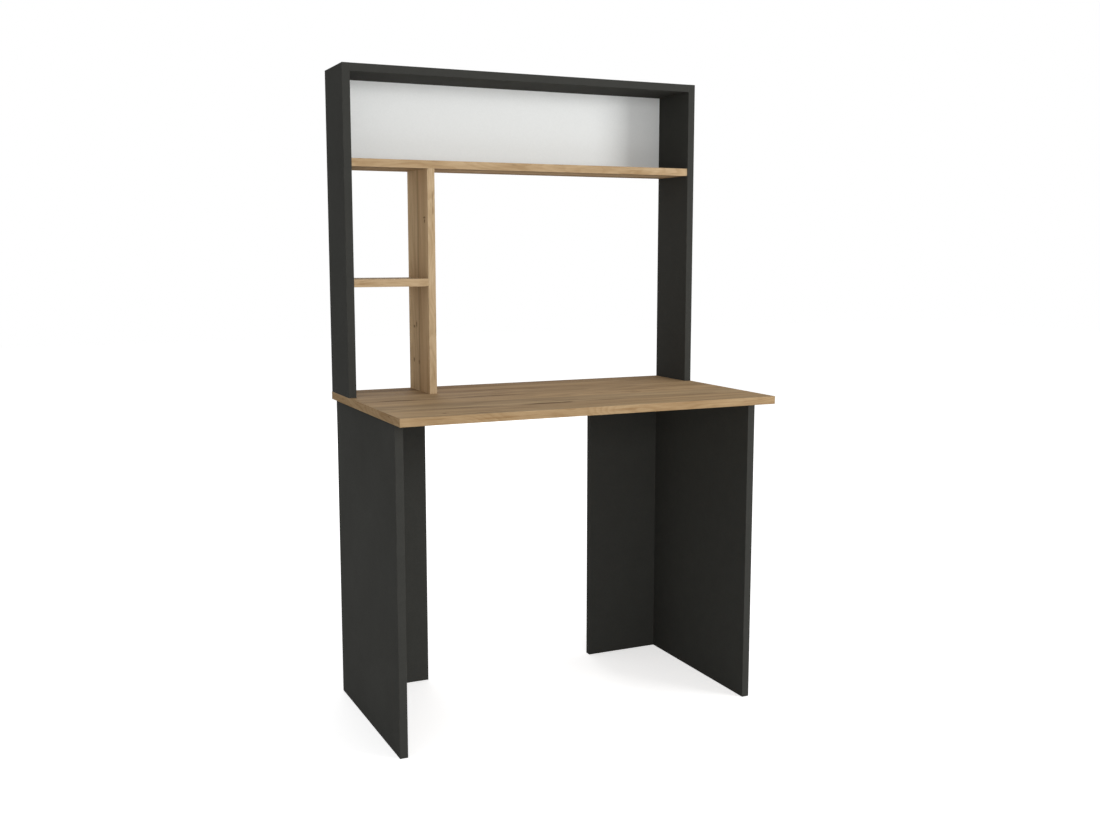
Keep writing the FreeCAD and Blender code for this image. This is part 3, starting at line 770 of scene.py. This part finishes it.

# %% [markdown]
# ## Oak board and band
# The same print dresses the desk top, both shelves and the divider; a seed for each board picks
# another stretch of it, as a saw does. The divider's left face has painted light: its print is
# paler there than on the board's other faces. It has a seam line and a few pin knots at chosen
# places, and the desk top has dark streaks where two staves meet. On the bands the print is finer
# and has no seams, because a band is printed on its own; the desk top's bands are printed darker,
# as painted shade.

# %% Oak tones
OAK_LIGHT = colour(197, 170, 133)
OAK_DARK = colour(122, 99, 71)
OAK_WARM = colour(252, 246, 240)
OAK_CRACK = colour(82, 58, 34)
# painted light: paler copies of the oak tones, for the divider's left face only
PAINTED_LIGHT_WOOD_PALE = colour(239, 211, 170)
PAINTED_LIGHT_WOOD_DARK = colour(197, 167, 129)
BAND_LIGHT = colour(208, 186, 153)
BAND_DARK = colour(163, 137, 103)
# painted shade: the desk top's bands are the same plastic as the other bands, printed darker to
# stand in for shade
PAINTED_SHADE_TOP_BAND_LIGHT = colour(189, 164, 128)
PAINTED_SHADE_TOP_BAND_DARK = colour(146, 118, 84)
BAND_WARM = colour(253, 248, 243)
RUBBED_OAK = colour(206, 186, 152)
BOARD_PRINT = {
    "Light Wood": OAK_LIGHT, "Dark Wood": OAK_DARK, "Warm Wood": OAK_WARM, "Crack": OAK_CRACK,
}
print("pale oak in linear light:", [round(part, 3) for part in OAK_LIGHT[:3]])

# %% The print of each board
STAVE_WIDTH = {"desk_top": 0.088, "long_shelf": 0.075, "small_shelf": 0.08, "divider": 0.078}
SEEDS = {"desk_top": 0.784, "long_shelf": 3.1, "small_shelf": 5.7, "divider": 0.667}
SEAMS = {"desk_top": 0.35, "divider": 3.0}  # how strong the seams are, if not 1
KNOT_SHARE = {"divider": 0.0}
BOARD_KNOTS = 0.12  # share of the knot cells with a knot, if no other is given
PRINT_HEIGHT = 2.0  # times the height of the pebbles
BAND_SQUEEZE = (4.5, 1.6, 1.0)  # how much shorter and finer the print is on a band
BAND_STAVE = 0.4  # far wider than a band, so a stave hardly ever ends in one
OAK_RUB_SHARE = 0.25
print("oak boards:", list(SEEDS))

# %% Chosen marks of the print
# each mark has its place along and across the grain, half length and half width in metres, and
# its depth of tone
KNOTS = {
    "divider": (
        (1.137, 0.135, 0.006, 0.0045, 0.75), (1.145, 0.137, 0.003, 0.009, 0.75),
        (0.896, 0.201, 0.01, 0.004, 0.75), (0.89, 0.218, 0.004, 0.007, 0.75),
        (0.81, 0.223, 0.007, 0.005, 0.75), (0.807, 0.187, 0.008, 0.004, 0.75),
    ),
    "desk_top": ((-0.34, -0.219, 0.008, 0.005, 0.7), (-0.03, -0.157, 0.018, 0.009, 0.95)),
}
STREAKS = {
    "desk_top": (
        (-0.365, 0.02, 0.07, 0.011, 0.62), (-0.15, 0.019, 0.135, 0.012, 0.55),
        (0.235, 0.0, 0.1, 0.009, 0.42), (-0.28, -0.153, 0.11, 0.009, 0.5),
        (-0.08, -0.158, 0.075, 0.013, 0.8), (0.07, -0.153, 0.06, 0.009, 0.4),
        (-0.25, -0.243, 0.085, 0.008, 0.5), (-0.06, -0.105, 0.06, 0.009, 0.35),
        (-0.3, -0.06, 0.06, 0.007, 0.25), (0.33, -0.12, 0.07, 0.008, 0.3),
    ),
}
# the face of each board that takes the chosen marks; on the divider it also takes painted light
MARKS_AND_PAINTED_LIGHT_FACE = {"divider": (-1, 0, 0), "desk_top": (0, 0, 1)}
KNOT_WAVES = (300.0, 500.0, 0.0)  # how fast a mark's outline wavers, along and across the grain
STREAK_WAVES = (28.0, 330.0, 0.0)
MARK_RAGGED = 1.6  # how far the noise shifts an outline, in half sizes
MARK_EDGE = (0.3, 1.1)  # where a mark fades, in half sizes
print("chosen marks:", sum(len(spots) for marked in (KNOTS, STREAKS) for spots in marked.values()))


# %% Drawing the chosen marks
def chosen_marks(tree, place, spots, waves):
    """Soft dark ovals at chosen places along and across the grain, with a wavering outline."""
    if not spots:
        return 0.0
    ragged = about_zero(tree, stretched_noise(tree, place, waves, detail=3.0))
    result = 0.0
    for along, across, length, width, depth in spots:
        offset = place_calc(tree, "SUBTRACT", place, (along, across, 0))
        oval = place_calc(tree, "MULTIPLY", offset, (1 / length, 1 / width, 0))
        reach = place_calc(tree, "LENGTH", oval)
        uneven = calc(tree, "MULTIPLY_ADD", ragged, MARK_RAGGED, reach)
        result = calc(tree, "MAXIMUM", result, ramp(tree, uneven, *MARK_EDGE, depth, 0.0))
    return result


def facing_mask(tree, direction):
    """1 on the faces that look along a direction."""
    facing = add(tree, "ShaderNodeNewGeometry").outputs["True Normal"]
    turned = place_calc(tree, "DOT_PRODUCT", facing, direction)
    return calc(tree, "GREATER_THAN", turned, FACING_LIMIT)


print("boards with chosen marks:", list(MARKS_AND_PAINTED_LIGHT_FACE))


# %% Oak finishes
def oak_board(node):
    """Printed oak on both faces, raw chips on the sawn edges."""
    material, tree, shader = new_finish(f"oak_{node}")
    place = laid_place(tree, node)
    feeds = {"Place": place, "Seed": SEEDS[node], "Stave Width": STAVE_WIDTH[node], **BOARD_PRINT}
    feeds["Seams"] = SEAMS.get(node, 1.0)
    feeds["Knot Share"] = KNOT_SHARE.get(node, BOARD_KNOTS)
    if node in MARKS_AND_PAINTED_LIGHT_FACE:
        marked = facing_mask(tree, MARKS_AND_PAINTED_LIGHT_FACE[node])
        knots = chosen_marks(tree, place, KNOTS.get(node, ()), KNOT_WAVES)
        streaks = chosen_marks(tree, place, STREAKS.get(node, ()), STREAK_WAVES)
        feeds["Marks"] = times(tree, calc(tree, "MAXIMUM", knots, streaks), marked)
    # painted light: on the divider's left face the oak tones are paler, standing in for more light
    # on that face
    if node == "divider":
        feeds["Light Wood"] = tint(tree, marked, OAK_LIGHT, PAINTED_LIGHT_WOOD_PALE)
        feeds["Dark Wood"] = tint(tree, marked, OAK_DARK, PAINTED_LIGHT_WOOD_DARK)
    oak = use(tree, PRINTED_OAK, feeds)
    pearl = pearl_texture(tree, place, BOARD_ROUGHNESS)
    height = calc(tree, "MULTIPLY_ADD", oak["Height"], PRINT_HEIGHT, pearl["Height"])
    feed_board(tree, shader, node, place, oak["Color"], height, pearl["Roughness"])
    return material


def oak_band(node):
    """Printed plastic strip with fine straight grain along it."""
    material, tree, shader = new_finish(f"oak_{node}")
    place = laid_place(tree, node)
    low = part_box(node)[0]
    # painted shade: the desk top's bands take the darker tones
    shaded_desk_top_band = node.startswith("desk_top")
    oak = use(tree, PRINTED_OAK, {
        "Place": place_calc(tree, "MULTIPLY", place, BAND_SQUEEZE), "Seed": low.x + 2 * low.z,
        "Stave Width": BAND_STAVE, "Seams": 0.0, "Knot Share": 0.0,
        "Light Wood": PAINTED_SHADE_TOP_BAND_LIGHT if shaded_desk_top_band else BAND_LIGHT,
        "Dark Wood": PAINTED_SHADE_TOP_BAND_DARK if shaded_desk_top_band else BAND_DARK,
        "Warm Wood": BAND_WARM, "Crack": OAK_CRACK,
    })
    pearl = pearl_texture(tree, place, BAND_ROUGHNESS)
    feed_band(tree, shader, node, pearl, oak["Color"], RUBBED_OAK, OAK_RUB_SHARE)
    return material


print("oak pieces:", sum(slot.startswith("oak") for slot in slot_of.values()))

# %% [markdown]
# ## White back panel
# The panel is three millimetres of fibreboard: lacquered white in front, and brown with a fine
# screen pattern behind, from the mesh that it is pressed on. One material holds both, told apart by
# which way the face looks, so the panel stays one piece.

# %% Back panel tones
PANEL_WHITE = colour(239, 241, 240)
PANEL_SHADE = colour(237, 239, 238)
PANEL_BROWN = colour(160, 133, 104)
PANEL_FLECK = colour(126, 100, 74)
LACQUER_ROUGHNESS = 0.42
BROWN_ROUGHNESS = 0.85
PANEL_RELIEF = 0.05 * MM
LACQUER_WAVES = even(260.0)
LACQUER_EDGE = (0.35, 0.65)
FLECK_WAVES = (900.0, 900.0, 700.0)
FLECK_EDGE = (0.35, 0.7)
FLECK_SHARE = 0.7
BROWN_CLOUD_WAVES = even(30.0)
BROWN_CLOUD = (0.2, 0.8, 0.08, 0.28)  # two noise levels, and the shares of dark fleck at them
SCREEN_TURNS = 2600.0  # radians per metre
SCREEN_HEIGHT = 4.0  # against a height of 1 for the lacquer's noise
print("the screen pattern repeats every", round(math.tau / SCREEN_TURNS / MM, 1), "mm")


# %% Back panel finish
def white_panel(_node):
    """White lacquer toward the front, screen-pressed brown fibreboard elsewhere."""
    material, tree, shader = new_finish("white_panel")
    place = add(tree, "ShaderNodeTexCoord").outputs["Object"]
    facing = split(tree, add(tree, "ShaderNodeNewGeometry").outputs["True Normal"])
    front = calc(tree, "LESS_THAN", facing["Y"], -FACING_LIMIT)
    parts = split(tree, place)
    wires = [calc(tree, "SINE", times(tree, parts[axis], SCREEN_TURNS)) for axis in "XZ"]
    screen = times(tree, times(tree, *wires), SCREEN_HEIGHT)
    fleck = stretched_noise(tree, place, FLECK_WAVES, detail=5.0, roughness=0.75)
    cloud = stretched_noise(tree, place, BROWN_CLOUD_WAVES, detail=6.0, roughness=0.7)
    fleck_tone = calc(tree, "MULTIPLY_ADD", ramp(tree, fleck, *FLECK_EDGE), FLECK_SHARE,
                      ramp(tree, cloud, *BROWN_CLOUD))
    brown = tint(tree, fleck_tone, PANEL_BROWN, PANEL_FLECK)
    lacquer = stretched_noise(tree, place, LACQUER_WAVES, detail=3.0)
    white = tint(tree, ramp(tree, lacquer, *LACQUER_EDGE), PANEL_WHITE, PANEL_SHADE)
    height = add(tree, "ShaderNodeMix", {0: front, 2: screen, 3: lacquer}).outputs[0]
    feed(tree, shader, Base_Color=tint(tree, front, brown, white),
         Roughness=ramp(tree, front, 0.0, 1.0, BROWN_ROUGHNESS, LACQUER_ROUGHNESS),
         Specular_IOR_Level=LAMINATE_GLOSS, Normal=bump(tree, height, PANEL_RELIEF))
    return material


panel_low, panel_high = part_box("back_panel")
print("panel thickness in mm:", round((panel_high - panel_low).y / MM, 2))

# %% [markdown]
# ## Fittings
# Little of the fittings shows: cams in the backs of the wings and on the hutch top, screw heads
# under the desk top, two caps on the long shelf. They still get their real surfaces, because the
# desk may be looked at from any side or taken apart: grainy die-cast zinc, finely scratched plated
# steel, fibrous beech, and caps with the same print as the boards.

# %% Metal
# each metal has its own colour, roughness and scratches, these in waves per metre
PLATED_STEEL = ((0.72, 0.72, 0.7, 1.0), 0.3, (900.0, 900.0, 60.0))  # long upright scratches
CAST_ZINC = ((0.4, 0.4, 0.39, 1.0), 0.5, even(700.0))
NAIL_STEEL = ((0.55, 0.55, 0.53, 1.0), 0.35, even(700.0))
SCRATCH_EDGE = (0.3, 0.7)
SCRATCH_SHADE = 0.8  # of the metal's own colour
SCRATCH_RELIEF = 0.03 * MM
POLISHED = 0.08  # how much smoother metal is between its scratches
DULLED = 0.1  # and how much rougher in them


def metal(name, base, roughness, scratches):
    """Plated or cast metal with fine scratches in its gloss."""
    material, tree, shader = new_finish(name)
    place = add(tree, "ShaderNodeTexCoord").outputs["Object"]
    marks = stretched_noise(tree, place, scratches, detail=4.0, roughness=0.6)
    shaded = tuple(SCRATCH_SHADE * part for part in base)
    rough = ramp(tree, marks, *SCRATCH_EDGE, roughness - POLISHED, roughness + DULLED)
    feed(tree, shader, Base_Color=tint(tree, ramp(tree, marks, *SCRATCH_EDGE), base, shaded),
         Metallic=1.0, Roughness=rough, Normal=bump(tree, marks, SCRATCH_RELIEF))
    print("metal:", name)
    return material


# %% Beech and caps
BEECH_PALE = colour(214, 178, 138)
BEECH_DARK = colour(184, 142, 102)
BEECH_WAVES = (60.0, 900.0, 900.0)
BEECH_EDGE = (0.35, 0.65)
BEECH_ROUGHNESS = 0.7
BEECH_RELIEF = 0.1 * MM
CAP_ROUGHNESS = 0.6
CAP_RELIEF = 0.05 * MM


def beech(node):
    """Plain pinkish beech with short fibres."""
    material, tree, shader = new_finish("beech")
    fibres = stretched_noise(tree, laid_place(tree, node), BEECH_WAVES, detail=3.0)
    wood = tint(tree, ramp(tree, fibres, *BEECH_EDGE), BEECH_PALE, BEECH_DARK)
    feed(tree, shader, Base_Color=wood, Roughness=BEECH_ROUGHNESS,
         Normal=bump(tree, fibres, BEECH_RELIEF))
    return material


def oak_cap(_node):
    """A printed plastic cap in the shelf's colour."""
    material, tree, shader = new_finish("oak_cap")
    place = add(tree, "ShaderNodeTexCoord").outputs["Object"]
    shelf = "long_shelf"
    feeds = {"Place": place, "Seed": SEEDS[shelf], "Stave Width": STAVE_WIDTH[shelf], **BOARD_PRINT}
    oak = use(tree, PRINTED_OAK, feeds)
    feed(tree, shader, Base_Color=oak["Color"], Roughness=CAP_ROUGHNESS,
         Specular_IOR_Level=LAMINATE_GLOSS, Normal=bump(tree, oak["Height"], CAP_RELIEF))
    return material


print("roughness of beech and caps:", BEECH_ROUGHNESS, CAP_ROUGHNESS)

# %% [markdown]
# ## Dressing the desk
# The CAD record names a material slot for every node. Finishes could be set node by node, but one
# table from slot to finish is shorter, and a slot that it lacks stops the script.

# %% Dress every CAD node
FINISHES = {
    "anthracite_board": anthracite_board,
    "anthracite_edge": anthracite_band,
    "oak_board": oak_board,
    "oak_edge": oak_band,
    "white_panel": white_panel,
    "beech": beech,
    "oak_cap_plastic": oak_cap,
    "zinc_plated_steel": lambda node: metal(f"plated_{node}", *PLATED_STEEL),
    "die_cast_zinc": lambda _node: metal("cast_zinc", *CAST_ZINC),
}
for node, piece in nodes.items():
    material = FINISHES[slot_of[node]](node)
    for material_slot in piece.material_slots:
        material_slot.material = material
print("dressed nodes:", len(nodes), "kinds of finish:", len(set(slot_of.values())))

# %% [markdown]
# ## Panel nails
# Small pins with low round heads hold the back panel to the edges of the boards that its rim lies
# on. A head is a turned shape, so one outline is spun round its axis and repeated along the rim.
# The sixteen heads are one object, which is easier to carry about than sixteen.

# %% Where the nails go
NAIL_GAP = 0.147  # wanted between two nails of a row; the rows divide evenly


def middle(node, axis):
    """The middle of a node along one axis."""
    low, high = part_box(node)
    return (low[AXES.index(axis)] + high[AXES.index(axis)]) / 2


nail_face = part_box("back_panel")[1].y
left_line, right_line = middle("left_hutch_side", "X"), middle("right_hutch_side", "X")
top_line, bottom_line = middle("hutch_top", "Z"), middle("long_shelf", "Z")
nail_gaps = round((right_line - left_line) / NAIL_GAP)
nail_spots = [Vector((left_line + (right_line - left_line) * step / nail_gaps, nail_face, line))
              for line in (top_line, bottom_line) for step in range(nail_gaps + 1)]
middle_height = (top_line + bottom_line) / 2
nail_spots += [Vector((line, nail_face, middle_height)) for line in (left_line, right_line)]
print("panel nails:", len(nail_spots))


# %% Turned trim helper
WELD_GAP = 0.01 * MM  # points nearer than this become one


def corner_number(face, vert_count):
    """One number for a face, from its corners. Welding leaves the faces in no fixed order, so they
    are sorted by it, and the mesh is the same each time."""
    number = 0
    for index in sorted(vert.index for vert in face.verts)[:3]:
        number = number * vert_count + index
    return number


def turned_trim(name, outline, spots, outward, steps, material):
    """Spins an outline of (radius, height) pairs and sets a copy at every spot on the desk."""
    shape = bmesh.new()
    turn = outward.to_track_quat("Z", "Y")
    for spot in spots:
        first_new = len(shape.verts)
        ring = [shape.verts.new(Vector((radius, 0, height))) for radius, height in outline]
        edges = [shape.edges.new(pair) for pair in zip(ring, ring[1:])]
        bmesh.ops.spin(shape, geom=ring + edges, cent=(0, 0, 0), axis=(0, 0, 1), angle=math.tau,
                       steps=steps, use_merge=True)
        shape.verts.ensure_lookup_table()
        for vert in shape.verts[first_new:]:
            vert.co = spot + turn @ vert.co
    bmesh.ops.remove_doubles(shape, verts=shape.verts, dist=WELD_GAP)
    bmesh.ops.recalc_face_normals(shape, faces=shape.faces)
    shape.verts.index_update()
    shape.faces.sort(key=lambda face: corner_number(face, len(shape.verts)))
    mesh = bpy.data.meshes.new(name)
    shape.to_mesh(mesh)
    shape.free()
    mesh.shade_smooth()
    mesh.materials.append(material)
    piece = bpy.data.objects.new(name, mesh)
    bpy.context.scene.collection.objects.link(piece)
    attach(piece, "root")
    print(name, "copies:", len(spots), "faces:", len(mesh.polygons))


# %% Nail heads
NAIL_RADIUS = 2.3 * MM
NAIL_HEIGHT = 0.8 * MM
RIM_HEIGHT = 0.25 * MM
NAIL_SINK = 0.4 * MM  # the head is hammered a little into the fibreboard
NAIL_SIDES = 16
ROUNDING_STEPS = 5
dome = [(NAIL_RADIUS * math.cos(turn), RIM_HEIGHT + (NAIL_HEIGHT - RIM_HEIGHT) * math.sin(turn))
        for turn in (math.pi / 2 * step / ROUNDING_STEPS for step in range(ROUNDING_STEPS + 1))]
nail_outline = [(0.0, -NAIL_SINK), (NAIL_RADIUS, -NAIL_SINK), *dome]
nail_steel = metal("nail_steel", *NAIL_STEEL)
turned_trim("panel_nail_heads", nail_outline, nail_spots, Vector((0, 1, 0)), steps=NAIL_SIDES,
            material=nail_steel)
